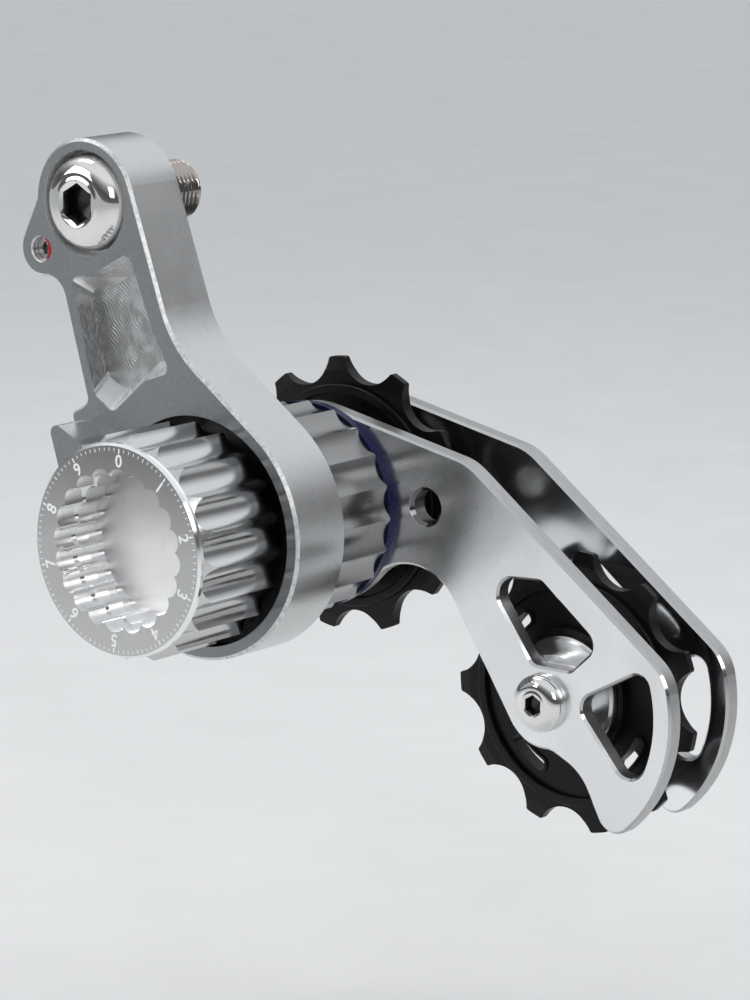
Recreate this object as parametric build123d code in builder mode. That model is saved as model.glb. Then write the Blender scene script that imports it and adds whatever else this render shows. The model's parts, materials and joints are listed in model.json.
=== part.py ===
from build123d import *
import os
from math import acos, atan2, cos, degrees, hypot, pi, radians, sin, sqrt

os.makedirs("parts", exist_ok=True)

# Chain tensioner for a bicycle with one rear sprocket, in millimetres.
# The origin is on the axis of the hanger bolt, at the back face of the arm.
# +X runs forward along the bicycle, +Y runs inboard towards the wheel, +Z is up.
# The pivot axis runs along Y through (pivot_x, pivot_z). The housing, the preload knob,
# the cage and the guide pulley are all centred on it.

# Clearances
running = 0.04        # radial, shaft in bush and bearing on spigot
thread_fit = 0.05     # radial, plain stand-in between a screw and its tapped hole
screw_room = 0.1      # radial, screw through a plain hole
drive_fit = 0.05      # each side, square spigot in its hole
leg_room = 0.1        # radial, turned-down spring leg in its hole
face_gap = 0.2        # between flat faces that turn past each other

# Arm of the bracket
arm_thickness = 12.1
arm_head_r = 10.47
pivot_x = 23.33
pivot_z = -51.08
front_edge_lean = 19.3       # degrees from the vertical
flare_angle = 53.5           # degrees, where the arm's flare touches the ring
flare_fillet = 20.0
ear_x = -9.45
ear_z = -8.25
ear_r = 4.5
ear_shelf = 4.0              # from the ear's axis to the arm's rear edge
ear_fillet = 4.0
ledge_root = (-23.2, 18.5)   # from the pivot
ledge_corner = (-26.9, 16.4)
ledge_fillet = 1.2
arm_edge = 0.5

# Pocket milled into the front of the arm, with ramps at its upper and lower ends: upper
# corners from the hanger bolt's axis, lower corners from the pivot axis
pocket_top = [(-2.97, -12.38), (2.73, -10.88), (9.43, -7.18), (14.33, -19.08)]
pocket_bottom = [(-5.3, 25.2), (-10.8, 23.2), (-17.6, 17.4), (-21.7, 20.0)]
pocket_corner = 1.3
pocket_depth = 4.3
pocket_ramp = 2.6            # length of each ramp along the arm

# Hanger bolt, a shoulder bolt with a button head
hanger_thread_d = 10.0
hanger_thread_reach = 11.8   # behind the arm
hanger_thread_start = 0.5    # in front of the arm's back face
hanger_shoulder_d = 11.8
hanger_head_d = 16.0
hanger_head_height = 5.5
hanger_head_proud = 1.9
hanger_flat_d = 8.6
hanger_key = 6.0
hanger_counterbore_d = 17.3
hanger_counterbore_edge = 0.3

# Angle screw, a grub screw in the ear
angle_screw_d = 4.0
angle_screw_length = 12.0
angle_screw_sunk = 1.5
angle_screw_key = 2.0
angle_hole_chamfer = 0.25

# Housing: front ring, lug beside the knob and fluted barrel
ring_r = 21.06
ring_bore_depth = 3.0
lug_height = 6.0
lug_inner_corner = (-20.1, 13.4)   # from the pivot
lug_outer_corner = (-26.6, 16.56)
lug_fillet = 1.3
barrel_r = 17.5
barrel_flute = 0.8           # depth of its flutes
barrel_length = 16.1
barrel_phase = -1.0
flute_count = 20
rear_wall = 4.1
chamber_r = 14.5
chamber_start = -1.0

# Preload knob and its dial
knob_neck_r = 16.5
knob_r = 18.2
knob_flute = 1.7             # depth of its flutes
knob_room = 0.61             # radial, to the ring and the lug beside it
knob_length = 17.4
knob_gap = 0.4
knob_phase = -2.8
knob_front_chamfer = 1.7
knob_rear_chamfer = 0.5
dial_inset = 1.03            # dial's edge inside the knob's ridges
dial_thickness = 1.04
dial_bevel = 0.4
dial_groove = 0.5
dial_groove_inset = 0.97     # groove's floor inside the dial's edge
dial_rim = 3.97              # between the dial's edge and the lobes of the recess
recess_lobe = 1.0            # depth of its lobes
recess_step = 0.5
recess_front_depth = 4.5
recess_depth = 9.2
recess_dish = 0.8
knob_web = 4.4
knob_hollow_r = 13.0
neck_end_gap = 0.3

# Split ring that keeps the knob in the housing
keeper_width = 1.2
keeper_back = 4.4       # from the chamber's mouth to the ring
keeper_grip = 0.55      # depth that it sits in the knob's neck
keeper_section = 1.35   # radial
keeper_gap_angle = 24.0

# Torsion spring
spring_wire_d = 2.6
spring_mean_r = 10.9
spring_turns = 5.25
spring_leg = 2.0

# Pivot axle
journal_r = 6.0
drive_flange_r = 13.6
drive_flange = 2.4
mandrel_r = 7.6
mandrel_bore_r = 4.5
mandrel_length = 11.0
square_drive = 8.4
thrust_washer = 0.6
thrust_washer_r = 13.0
bush_r = 8.0
bush_flange_r = 9.5
seal_inset = 0.3         # seal's edge inside the barrel's ridges
seal_thickness = 1.6

# Cage
plate_thickness = 3.2
cage_gap = 13.0
cage_x = 47.1            # tension pulley's axis from the pivot
cage_z = -26.8
plate_hub_r = 16.8
plate_boss_r = 7.7
plate_edge = 0.4
bend_corner = (31.9, 10.4)       # from the pivot
bend_fillet = 10.0
guard_r = 24.8                   # about the tension pulley's axis
guard_start = 18.8               # degrees, guard's upper end
guard_end = -58.4
shoulder_fillet = 8.0
tail_fillet = 3.5
tail_hollow = (7.4, -10.6)       # from the tension pulley's axis
tail_hollow_fillet = 9.0
tail_root_angle = -80.0
tail_root_fillet = 3.0
neck_edge_lean = 32.2            # degrees from the vertical
neck_r = 10.5
lock_hole = (23.4, 2.2)
lock_hole_d = 6.6
lock_hole_chamfer = 0.6

# Cut-outs in both plates, from the tension pulley's axis: x, z and fillet of each corner
upper_window = [(-11.5, 19.2, 2.9), (-0.6, 19.8, 1.8), (10.8, 10.8, 2.3), (5.4, 5.85, 1.6),
                (-2.0, 5.9, 2.0)]
lower_window_apex = (6.3, 1.0)
lower_window_r = 21.2
lower_window_from = -35.0
lower_window_to = 22.5
lower_window_fillets = (2.5, 2.2, 3.0)   # apex, upper corner, lower corner

# Cage screws, with button heads
cage_screw_d = 5.0
cage_head_d = 9.5
cage_head_height = 2.75
cage_flat_d = 4.4
cage_key = 3.0
guide_screw_grip = 7.0           # thread engaged in the axle
tension_screw_proud = 0.4        # past the far plate

# Pulleys for a 12.7 mm pitch chain
chain_pitch = 12.7
chain_roller_d = 7.75
teeth = 11
tooth_thickness = 2.1
tooth_crest = 0.76               # tip outside the pitch circle
tooth_seat_r = 5.4
root_relief = 0.85
tooth_bevel = 0.45
tooth_bevel_height = 2.2
tooth_corner = 0.45
guide_phase = 95.5
tension_phase = 20.5
rim_outer_r = 18.8
rim_width = 1.5
rim_raise = 0.9
rim_edge = 0.25
pulley_hub_r = 10.8
window_count = 4
window_mid_r = 14.5
window_width = 2.0
window_span = 22.5
window_lip = 0.45
window_lip_raise = 0.3
window_phase = -128.0

# Pulley bearings and their caps
bearing_outer_r = 8.0
bearing_bore_r = 4.0
bearing_width = 5.0
inner_race_r = 5.1
outer_race_r = 6.9
ball_d = 2.4
ball_count = 9
race_clearance = 0.05
shield_thickness = 0.25
shield_sunk = 0.2
cap_boss_r = 7.2
cap_disc_r = 9.7
cap_disc = 0.8
cap_step_r = 9.1
cap_step = 0.5
cap_shoulder_r = 5.0

# Places worked out from the sizes above
barrel_valley_r = barrel_r - barrel_flute
knob_valley_r = knob_r - knob_flute
ring_bore_r = knob_r + knob_room
dial_r = knob_r - dial_inset
dial_groove_r = dial_r - dial_groove_inset
recess_lobe_r = dial_r - dial_rim
recess_r = recess_lobe_r - recess_lobe
keeper_inner_r = knob_neck_r - keeper_grip
keeper_outer_r = keeper_inner_r + keeper_section
seal_r = barrel_r - seal_inset
pivot = (pivot_x, pivot_z)
tension = (pivot_x + cage_x, pivot_z + cage_z)
arm_front = -arm_thickness
knob_back = arm_front - knob_gap
knob_front = knob_back - knob_length
dial_back = knob_front - dial_groove
dial_front = dial_back - dial_thickness
recess_floor = dial_front + recess_depth
hollow_floor = recess_floor + recess_dish + knob_web
neck_end = chamber_start - neck_end_gap
keeper_end = chamber_start - keeper_back
keeper_start = keeper_end - keeper_width
wall_front = barrel_length - rear_wall
flange_back = wall_front - thrust_washer
flange_front = flange_back - drive_flange
near_front = barrel_length + seal_thickness
near_back = near_front + plate_thickness
far_front = near_back + cage_gap
far_back = far_front + plate_thickness
middle = (near_back + far_front) / 2
pitch_r = chain_pitch / 2 / sin(pi / teeth)
tip_r = pitch_r + tooth_crest
root_r = pitch_r - chain_roller_d / 2 + root_relief


def facing(y, centre=(0.0, 0.0)):
    """Plane across the object at depth y, seen from outboard: right is +X, up is +Z.
    An extrusion from it runs outboard, towards -Y."""
    return Plane(origin=(centre[0], y, centre[1]), x_dir=(1, 0, 0), z_dir=(0, -1, 0))


def turning(centre):
    """Plane of a turned profile: right is the radius, up is the depth y."""
    return Plane(origin=(centre[0], 0, centre[1]), x_dir=(1, 0, 0), z_dir=(0, 0, 1))


def spindle(centre):
    """The axis along Y through centre."""
    return Axis((centre[0], 0, centre[1]), (0, 1, 0))


def from_pivot(point):
    """A point given from the pivot axis, in the object's own X and Z."""
    return (pivot_x + point[0], pivot_z + point[1])


def from_tension(point):
    """A point given from the tension pulley's axis, measured from the pivot axis."""
    return (cage_x + point[0], cage_z + point[1])


def polar(radius, angle, centre=(0.0, 0.0)):
    """The point at radius and angle in degrees about centre."""
    turn = radians(angle)
    return (centre[0] + radius * cos(turn), centre[1] + radius * sin(turn))


def touch(point, centre, radius, side):
    """Where the tangent from point touches a circle; side is 1 or -1."""
    reach_x = point[0] - centre[0]
    reach_y = point[1] - centre[1]
    spread = degrees(acos(radius / hypot(reach_x, reach_y)))
    return polar(radius, degrees(atan2(reach_y, reach_x)) + side * spread, centre)


def toward(start, end, length):
    """The point at length from start on the way to end."""
    share = length / hypot(end[0] - start[0], end[1] - start[1])
    return (start[0] + share * (end[0] - start[0]), start[1] + share * (end[1] - start[1]))


def crossing(point_a, angle_a, point_b, angle_b):
    """Where two lines meet, each given by a point and its direction in degrees."""
    ax, ay = cos(radians(angle_a)), sin(radians(angle_a))
    bx, by = cos(radians(angle_b)), sin(radians(angle_b))
    gap_x = point_b[0] - point_a[0]
    gap_y = point_b[1] - point_a[1]
    along = (gap_x * by - gap_y * bx) / (ax * by - ay * bx)
    return (point_a[0] + along * ax, point_a[1] + along * ay)


def scallop_r(ridge, valley, count):
    """Radius of the cutter whose scallops meet in sharp ridges."""
    half = cos(pi / count)
    return (ridge**2 + valley**2 - 2 * ridge * valley * half) / (2 * (ridge * half - valley))


def lobe_centre(cusp, lobe, count):
    """Distance of the lobe circles that meet in cusps inside a scalloped recess."""
    return (lobe**2 - cusp**2) / (2 * (lobe - cusp * cos(pi / count)))


def write(piece, name):
    """Name a finished piece and write it to its own file."""
    piece.part.label = name
    export_step(piece.part, f"parts/{name}.step")


def turned(centre, outline):
    """A piece of revolution; outline lists its (radius, depth) corners."""
    with BuildPart() as piece:
        with BuildSketch(turning(centre)):
            with BuildLine():
                Polyline(*outline, close=True)
            make_face()
        revolve(axis=spindle(centre))
    return piece


def washer(centre, inner, outer, start, end):
    """A flat ring from depth start to depth end."""
    return turned(centre, [(inner, start), (outer, start), (outer, end), (inner, end)])


def button_screw(centre, seat, out, head_d, height, flat_d, key, steps):
    """A button head screw. Its head stands on depth seat and points to out (-1 outboard,
    1 inboard). Steps lists the shank's (radius, length) from the head to the tip."""
    top = seat + out * height
    rim = seat + out * height * 0.2
    bulge = (flat_d / 2 + (head_d - flat_d) / 2 * 0.62, top - out * height * 0.26)
    corners = [(head_d / 2, seat)]
    depth = seat
    for radius, length in steps:
        corners.append((radius, depth))
        depth -= out * length
        corners.append((radius, depth))
    lead = steps[-1][0] * 0.2
    corners[-1] = (steps[-1][0], depth + out * lead)
    corners.append((steps[-1][0] - lead, depth))
    corners.append((0, depth))
    with BuildPart() as screw:
        with BuildSketch(turning(centre)):
            with BuildLine():
                Line((0, top), (flat_d / 2, top))
                ThreePointArc((flat_d / 2, top), bulge, (head_d / 2, rim))
                Line((head_d / 2, rim), (head_d / 2, seat))
                Polyline(*corners)
                Line((0, depth), (0, top))
            make_face()
        revolve(axis=spindle(centre))
        with BuildSketch(facing(top, centre)):
            RegularPolygon(key / 2, 6, major_radius=False)
        extrude(amount=out * key * 0.55, mode=Mode.SUBTRACT)
    return screw


def nearest(sketch, *points):
    """The sketch's corner nearest to each point."""
    return [sketch.vertices().sort_by_distance(point)[0] for point in points]


# Bracket: arm, ear, ring, lug and barrel, machined as one piece
head_touch = polar(arm_head_r, front_edge_lean)
flare_touch = polar(ring_r, flare_angle, pivot)
flare_corner = crossing(head_touch, front_edge_lean - 90, flare_touch, flare_angle + 90)
ledge_outer = from_pivot(ledge_corner)
ledge_inner = from_pivot(ledge_root)
ledge_touch = touch(ledge_outer, pivot, ring_r, 1)
shelf_corner = (ear_x + ear_shelf, ear_z - ear_r)
head_rear = (-arm_head_r, 0.0)
ear_touch = touch(head_rear, (ear_x, ear_z), ear_r, 1)

with BuildPart() as bracket:
    with BuildSketch(facing(0)) as arm_outline:
        with BuildLine():
            Polyline(
                (0, 0), head_touch, flare_corner, flare_touch, pivot, ledge_touch, ledge_outer,
                ledge_inner, shelf_corner, (ear_x, ear_z - ear_r), ear_touch, head_rear,
                close=True,
            )
        make_face()
        Circle(arm_head_r)
        with Locations((ear_x, ear_z)):
            Circle(ear_r)
        with Locations(pivot):
            Circle(ring_r)
        fillet(nearest(arm_outline, flare_corner), flare_fillet)
        fillet(nearest(arm_outline, shelf_corner), ear_fillet)
        fillet(nearest(arm_outline, ledge_inner, ledge_outer), ledge_fillet)
    extrude(amount=arm_thickness)
    chamfer(bracket.faces().sort_by(Axis.Y)[0].edges(), arm_edge)
    chamfer(bracket.faces().sort_by(Axis.Y)[-1].edges(), arm_edge)

    # Lug that stands forward beside the knob
    with BuildSketch(facing(arm_front, pivot)) as lug_outline:
        lug_touch = touch(lug_outer_corner, (0, 0), ring_r - arm_edge, 1)
        with BuildLine():
            Polyline((0, 0), lug_inner_corner, lug_outer_corner, lug_touch, close=True)
        make_face()
        fillet(nearest(lug_outline, lug_outer_corner), lug_fillet)
    extrude(amount=lug_height)
    with BuildSketch(facing(arm_front - lug_height, pivot)):
        Circle(ring_bore_r)
    extrude(amount=-lug_height, mode=Mode.SUBTRACT)

    # Barrel with scalloped flutes
    barrel_cutter = scallop_r(barrel_r, barrel_valley_r, flute_count)
    with BuildSketch(facing(barrel_length, pivot)):
        Circle(barrel_r)
        with PolarLocations(barrel_valley_r + barrel_cutter, flute_count,
                            start_angle=barrel_phase + 180 / flute_count):
            Circle(barrel_cutter, mode=Mode.SUBTRACT)
    extrude(amount=barrel_length)

    # Stepped bore: mouth, knob bore with its ring groove, spring chamber, bush seat
    knob_bore_r = knob_neck_r + running
    groove_r = keeper_outer_r + screw_room
    with BuildSketch(turning(pivot)):
        with BuildLine():
            Polyline(
                (0, arm_front), (ring_bore_r, arm_front),
                (ring_bore_r, arm_front + ring_bore_depth),
                (knob_bore_r, arm_front + ring_bore_depth),
                (knob_bore_r, keeper_start), (groove_r, keeper_start), (groove_r, keeper_end),
                (knob_bore_r, keeper_end), (knob_bore_r, chamber_start),
                (chamber_r, chamber_start), (chamber_r, wall_front), (bush_r, wall_front),
                (bush_r, barrel_length), (0, barrel_length),
                close=True,
            )
        make_face()
    revolve(axis=spindle(pivot), mode=Mode.SUBTRACT)

    # Hanger bolt hole and its counterbore
    hanger_seat = arm_front - hanger_head_proud + hanger_head_height
    with BuildSketch(facing(0)):
        Circle(hanger_shoulder_d / 2 + running)
    extrude(amount=arm_thickness, mode=Mode.SUBTRACT)
    with BuildSketch(facing(hanger_seat)):
        Circle(hanger_counterbore_d / 2)
    extrude(amount=arm_thickness, mode=Mode.SUBTRACT)
    bolt_mouth = bracket.edges().filter_by(GeomType.CIRCLE).sort_by_distance((0, arm_front, 0))
    chamfer(bolt_mouth[0], hanger_counterbore_edge)

    # Tapped hole of the angle screw
    with BuildSketch(facing(0, (ear_x, ear_z))):
        Circle(angle_screw_d / 2)
    extrude(amount=arm_thickness, mode=Mode.SUBTRACT)
    ear_mouth = bracket.edges().filter_by(GeomType.CIRCLE).sort_by_distance((ear_x, arm_front, ear_z))
    chamfer(ear_mouth[0], angle_hole_chamfer)

    # Pocket: upright walls along the arm, a ramp at each end down to the smaller floor
    pocket_mouth = pocket_top + [from_pivot(point) for point in pocket_bottom]
    upper_left, upper_middle, upper_right, right_side = pocket_mouth[:4]
    lower_right, lower_middle, lower_hollow, lower_left = pocket_mouth[4:]
    pocket_floor = [
        toward(upper_left, lower_left, pocket_ramp), toward(upper_middle, lower_hollow, pocket_ramp),
        toward(upper_right, right_side, pocket_ramp), right_side,
        toward(lower_right, right_side, pocket_ramp), toward(lower_middle, upper_right, pocket_ramp),
        toward(lower_hollow, upper_middle, pocket_ramp), toward(lower_left, upper_left, pocket_ramp),
    ]
    for depth, corners in ((arm_front, pocket_mouth), (arm_front + pocket_depth, pocket_floor)):
        with BuildSketch(facing(depth)) as pocket_outline:
            with BuildLine():
                Polyline(*corners, close=True)
            make_face()
            fillet(pocket_outline.vertices(), pocket_corner)
    loft(ruled=True, mode=Mode.SUBTRACT)
write(bracket, "bracket")

# Hanger bolt
hanger_bolt = button_screw(
    (0, 0), hanger_seat, -1, hanger_head_d, hanger_head_height, hanger_flat_d, hanger_key,
    [(hanger_shoulder_d / 2, -hanger_seat - hanger_thread_start),
     (hanger_thread_d / 2, hanger_thread_start + hanger_thread_reach)],
)
write(hanger_bolt, "hanger_bolt")

# Angle screw with a cone point
angle_top = arm_front + angle_screw_sunk
angle_end = angle_top + angle_screw_length
angle_r = angle_screw_d / 2 - thread_fit
with BuildPart() as angle_screw:
    with BuildSketch(turning((ear_x, ear_z))):
        with BuildLine():
            Polyline((0, angle_top), (angle_r, angle_top), (angle_r, angle_end - angle_r / 2),
                     (angle_r / 2, angle_end), (0, angle_end), close=True)
        make_face()
    revolve(axis=spindle((ear_x, ear_z)))
    with BuildSketch(facing(angle_top, (ear_x, ear_z))):
        RegularPolygon(angle_screw_key / 2, 6, major_radius=False)
    extrude(amount=-angle_screw_key, mode=Mode.SUBTRACT)
write(angle_screw, "angle_screw")

# Flanged bush in the rear wall, thrust washer in front of it and seal behind it
bush_bore_r = journal_r + running
bush_sleeve_r = bush_r - running / 2
bush_flange_end = near_front - face_gap / 2
rear_bush = turned(pivot, [
    (bush_bore_r, wall_front), (bush_sleeve_r, wall_front), (bush_sleeve_r, barrel_length),
    (bush_flange_r, barrel_length), (bush_flange_r, bush_flange_end),
    (bush_bore_r, bush_flange_end),
])
write(rear_bush, "rear_bush")
write(washer(pivot, bush_bore_r + face_gap, thrust_washer_r, flange_back, wall_front), "thrust_washer")
write(washer(pivot, bush_flange_r + face_gap, seal_r, barrel_length, near_front), "seal_washer")

# Split ring that keeps the knob in the housing
with BuildPart() as knob_keeper:
    with BuildSketch(facing(keeper_end, pivot)):
        Circle(keeper_outer_r)
        Circle(keeper_inner_r, mode=Mode.SUBTRACT)
        with BuildLine():
            Polyline((0, 0), polar(2 * keeper_outer_r, 90 - keeper_gap_angle / 2),
                     polar(2 * keeper_outer_r, 90 + keeper_gap_angle / 2), close=True)
        make_face(mode=Mode.SUBTRACT)
    extrude(amount=keeper_width)
write(knob_keeper, "knob_keeper")


# Torsion spring between the knob's web and the axle's flange
spring_r = spring_wire_d / 2
leg_r = spring_r - leg_room
coil_front = hollow_floor + spring_r
coil_back = flange_front - spring_r
coil_length = coil_back - coil_front
with BuildPart() as torsion_spring:
    with BuildLine():
        coil = Helix(coil_length / spring_turns, coil_length, spring_mean_r,
                     center=(pivot_x, coil_front, pivot_z), direction=(0, 1, 0))
    knob_leg = coil @ 0
    axle_leg = coil @ 1
    with BuildSketch(Plane(origin=knob_leg, z_dir=coil % 0)):
        Circle(spring_r)
    sweep()
    bend = spring_r / 2
    for tip, leg_start, leg_end in ((knob_leg, hollow_floor - spring_leg, coil_front + bend),
                                    (axle_leg, coil_back - bend, flange_front + spring_leg)):
        with BuildSketch(facing(leg_end, (tip.X, tip.Z))):
            Circle(leg_r)
        extrude(amount=leg_end - leg_start)
write(torsion_spring, "torsion_spring")


def scalloped_recess(cusp, lobe):
    """Sketch of a recess with rounded lobes that meet in cusps."""
    middle_r = lobe_centre(cusp, lobe, flute_count)
    Circle(cusp)
    with PolarLocations(middle_r, flute_count, start_angle=knob_phase):
        Circle(lobe - middle_r)


# Preload knob: fluted grip, neck in the housing, lobed recess in front, hollow behind
knob_cutter = scallop_r(knob_r, knob_valley_r, flute_count)
with BuildPart() as preload_knob:
    with BuildSketch(facing(knob_back, pivot)):
        Circle(knob_r)
        with PolarLocations(knob_valley_r + knob_cutter, flute_count,
                            start_angle=knob_phase + 180 / flute_count):
            Circle(knob_cutter, mode=Mode.SUBTRACT)
    extrude(amount=knob_length)
    with BuildSketch(turning(pivot)):
        with BuildLine():
            Polyline((knob_r - knob_front_chamfer, knob_front), (knob_r + 1, knob_front),
                     (knob_r + 1, knob_front + knob_front_chamfer + 1), close=True)
        make_face()
        with BuildLine():
            Polyline((knob_r - knob_rear_chamfer, knob_back), (knob_r + 1, knob_back),
                     (knob_r + 1, knob_back - knob_rear_chamfer - 1), close=True)
        make_face()
    revolve(axis=spindle(pivot), mode=Mode.SUBTRACT)
    with BuildSketch(facing(knob_front, pivot)):
        Circle(dial_groove_r)
    extrude(amount=dial_groove)
    keeper_floor_r = keeper_inner_r - face_gap
    with BuildSketch(turning(pivot)):
        with BuildLine():
            Polyline(
                (0, knob_back), (knob_neck_r, knob_back),
                (knob_neck_r, keeper_start - face_gap / 2), (keeper_floor_r, keeper_start - face_gap / 2),
                (keeper_floor_r, keeper_end + face_gap / 2), (knob_neck_r, keeper_end + face_gap / 2),
                (knob_neck_r, neck_end), (0, neck_end), close=True,
            )
        make_face()
    revolve(axis=spindle(pivot))
    with BuildSketch(facing(dial_back, pivot)):
        scalloped_recess(recess_r, recess_lobe_r)
    extrude(amount=-(recess_front_depth - dial_thickness), mode=Mode.SUBTRACT)
    with BuildSketch(facing(dial_back, pivot)):
        scalloped_recess(recess_r - recess_step, recess_lobe_r - recess_step)
    extrude(amount=-(recess_depth - dial_thickness), mode=Mode.SUBTRACT)
    with BuildSketch(turning(pivot)):
        with BuildLine():
            dish_r = recess_r - 2 * recess_step
            dish = ThreePointArc((dish_r, recess_floor), (0, recess_floor + recess_dish),
                                 (-dish_r, recess_floor))
            Line(dish @ 1, dish @ 0)
        make_face()
        split(bisect_by=Plane(origin=(0, 0, 0), z_dir=(1, 0, 0)))
    revolve(axis=spindle(pivot), mode=Mode.SUBTRACT)
    with BuildSketch(facing(neck_end, pivot)):
        Circle(knob_hollow_r)
    extrude(amount=neck_end - hollow_floor, mode=Mode.SUBTRACT)
    with BuildSketch(facing(hollow_floor, (knob_leg.X, knob_leg.Z))):
        Circle(spring_r)
    extrude(amount=spring_leg + leg_room, mode=Mode.SUBTRACT)
write(preload_knob, "preload_knob")

# Dial ring on the knob's front face
with BuildPart() as dial_ring:
    with BuildSketch(facing(dial_back, pivot)):
        Circle(dial_r)
    extrude(amount=dial_thickness)
    chamfer(dial_ring.edges().filter_by(GeomType.CIRCLE).sort_by(Axis.Y)[0], dial_bevel)
    with BuildSketch(facing(dial_back, pivot)):
        scalloped_recess(recess_r, recess_lobe_r)
    extrude(amount=dial_thickness, mode=Mode.SUBTRACT)
write(dial_ring, "dial_ring")

# Pivot axle: mandrel, drive flange, journal and square spigot
with BuildPart() as pivot_axle:
    with BuildSketch(turning(pivot)):
        with BuildLine():
            Polyline(
                (mandrel_bore_r, flange_front - mandrel_length),
                (mandrel_r, flange_front - mandrel_length), (mandrel_r, flange_front),
                (drive_flange_r, flange_front), (drive_flange_r, flange_back),
                (journal_r, flange_back), (journal_r, near_front), (0, near_front),
                (0, flange_front), (mandrel_bore_r, flange_front), close=True,
            )
        make_face()
    revolve(axis=spindle(pivot))
    with BuildSketch(facing(near_back, pivot)):
        Rectangle(square_drive, square_drive)
    extrude(amount=plate_thickness)
    with BuildSketch(facing(near_back, pivot)):
        Circle(cage_screw_d / 2)
    extrude(amount=guide_screw_grip + thread_fit, mode=Mode.SUBTRACT)
    with BuildSketch(facing(flange_back, (axle_leg.X, axle_leg.Z))):
        Circle(spring_r)
    extrude(amount=drive_flange, mode=Mode.SUBTRACT)
write(pivot_axle, "pivot_axle")

# Cage plates
cage_axis = (cage_x, cage_z)
hub_touch = touch(bend_corner, (0, 0), plate_hub_r, 1)
shoulder_corner = polar(guard_r, guard_start, cage_axis)
guard_middle = polar(guard_r, (guard_start + guard_end) / 2, cage_axis)
tail_tip = polar(guard_r, guard_end, cage_axis)
tail_bend = from_tension(tail_hollow)
tail_root = polar(plate_boss_r, tail_root_angle, cage_axis)

# The rear edge leaves the boss as a tangent and meets the hub in a hollow arc. The arc's
# centre lies on a line beside the edge, at neck_r outside the hub.
edge_way = radians(90 + neck_edge_lean)
rear_touch = polar(plate_boss_r, 180 + neck_edge_lean, cage_axis)
beside_boss = polar(plate_boss_r + neck_r, 180 + neck_edge_lean, cage_axis)
back_along = beside_boss[0] * cos(edge_way) + beside_boss[1] * sin(edge_way)
beside_r = hypot(*beside_boss)
along_edge = -back_along - sqrt(back_along**2 - beside_r**2 + (plate_hub_r + neck_r)**2)
neck_centre = (beside_boss[0] + along_edge * cos(edge_way), beside_boss[1] + along_edge * sin(edge_way))
neck_to_hub = degrees(atan2(-neck_centre[1], -neck_centre[0]))
neck_start = polar(neck_r, neck_edge_lean, neck_centre)
neck_middle = polar(neck_r, (neck_edge_lean + neck_to_hub) / 2, neck_centre)
neck_end_point = polar(neck_r, neck_to_hub, neck_centre)


def cage_outline():
    """Sketch of a cage plate's outline, about the pivot axis."""
    with BuildSketch(mode=Mode.PRIVATE) as outline:
        with BuildLine():
            Polyline((0, 0), hub_touch, bend_corner, shoulder_corner)
            ThreePointArc(shoulder_corner, guard_middle, tail_tip)
            Polyline(tail_tip, tail_bend, tail_root, cage_axis, rear_touch, neck_start)
            ThreePointArc(neck_start, neck_middle, neck_end_point)
            Line(neck_end_point, (0, 0))
        make_face()
        Circle(plate_hub_r)
        with Locations(cage_axis):
            Circle(plate_boss_r)
        fillet(nearest(outline, bend_corner), bend_fillet)
        fillet(nearest(outline, shoulder_corner), shoulder_fillet)
        fillet(nearest(outline, tail_tip), tail_fillet)
        fillet(nearest(outline, tail_bend), tail_hollow_fillet)
        fillet(nearest(outline, tail_root), tail_root_fillet)
    return outline.sketch


def cage_windows():
    """Sketch of the two cut-outs, about the pivot axis."""
    with BuildSketch(mode=Mode.PRIVATE) as upper:
        with BuildLine():
            Polyline(*[from_tension(corner) for corner in upper_window], close=True)
        make_face()
        for x, z, radius in upper_window:
            fillet(nearest(upper, from_tension((x, z))), radius)
    with BuildSketch(mode=Mode.PRIVATE) as lower:
        low = polar(lower_window_r, lower_window_from, cage_axis)
        high = polar(lower_window_r, lower_window_to, cage_axis)
        apex = from_tension(lower_window_apex)
        with BuildLine():
            Line(apex, high)
            RadiusArc(high, low, lower_window_r)
            Line(low, apex)
        make_face()
        for corner, radius in zip((apex, high, low), lower_window_fillets):
            fillet(nearest(lower, corner), radius)
    return upper.sketch + lower.sketch


outline_sketch = cage_outline()
window_sketch = cage_windows()
for name, back in (("near_cage_plate", near_back), ("far_cage_plate", far_back)):
    with BuildPart() as plate:
        with BuildSketch(facing(back, pivot)):
            add(outline_sketch)
            add(window_sketch, mode=Mode.SUBTRACT)
        extrude(amount=plate_thickness)
        chamfer(plate.faces().sort_by(Axis.Y)[0].edges(), plate_edge)
        chamfer(plate.faces().sort_by(Axis.Y)[-1].edges(), plate_edge)
        with BuildSketch(facing(back, pivot)):
            if name == "near_cage_plate":
                Rectangle(square_drive + 2 * drive_fit, square_drive + 2 * drive_fit)
                with Locations(cage_axis):
                    Circle(cage_screw_d / 2 + screw_room)
                with Locations(lock_hole):
                    Circle(lock_hole_d / 2 - lock_hole_chamfer)
            else:
                Circle(cage_screw_d / 2 + screw_room)
                with Locations(cage_axis):
                    Circle(cage_screw_d / 2)
        extrude(amount=plate_thickness, mode=Mode.SUBTRACT)
        if name == "near_cage_plate":
            mouth = (pivot_x + lock_hole[0], near_front, pivot_z + lock_hole[1])
            lock_edges = plate.edges().filter_by(GeomType.CIRCLE).sort_by_distance(mouth)
            chamfer(lock_edges[0], lock_hole_chamfer)
    write(plate, name)

# Cage screws
cage_thread_r = cage_screw_d / 2 - thread_fit
guide_bolt = button_screw(
    pivot, far_back, 1, cage_head_d, cage_head_height, cage_flat_d, cage_key,
    [(cage_thread_r, far_back - near_back + guide_screw_grip)],
)
write(guide_bolt, "guide_bolt")
tension_bolt = button_screw(
    tension, near_front, -1, cage_head_d, cage_head_height, cage_flat_d, cage_key,
    [(cage_thread_r, far_back - near_front + tension_screw_proud)],
)
write(tension_bolt, "tension_bolt")

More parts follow.
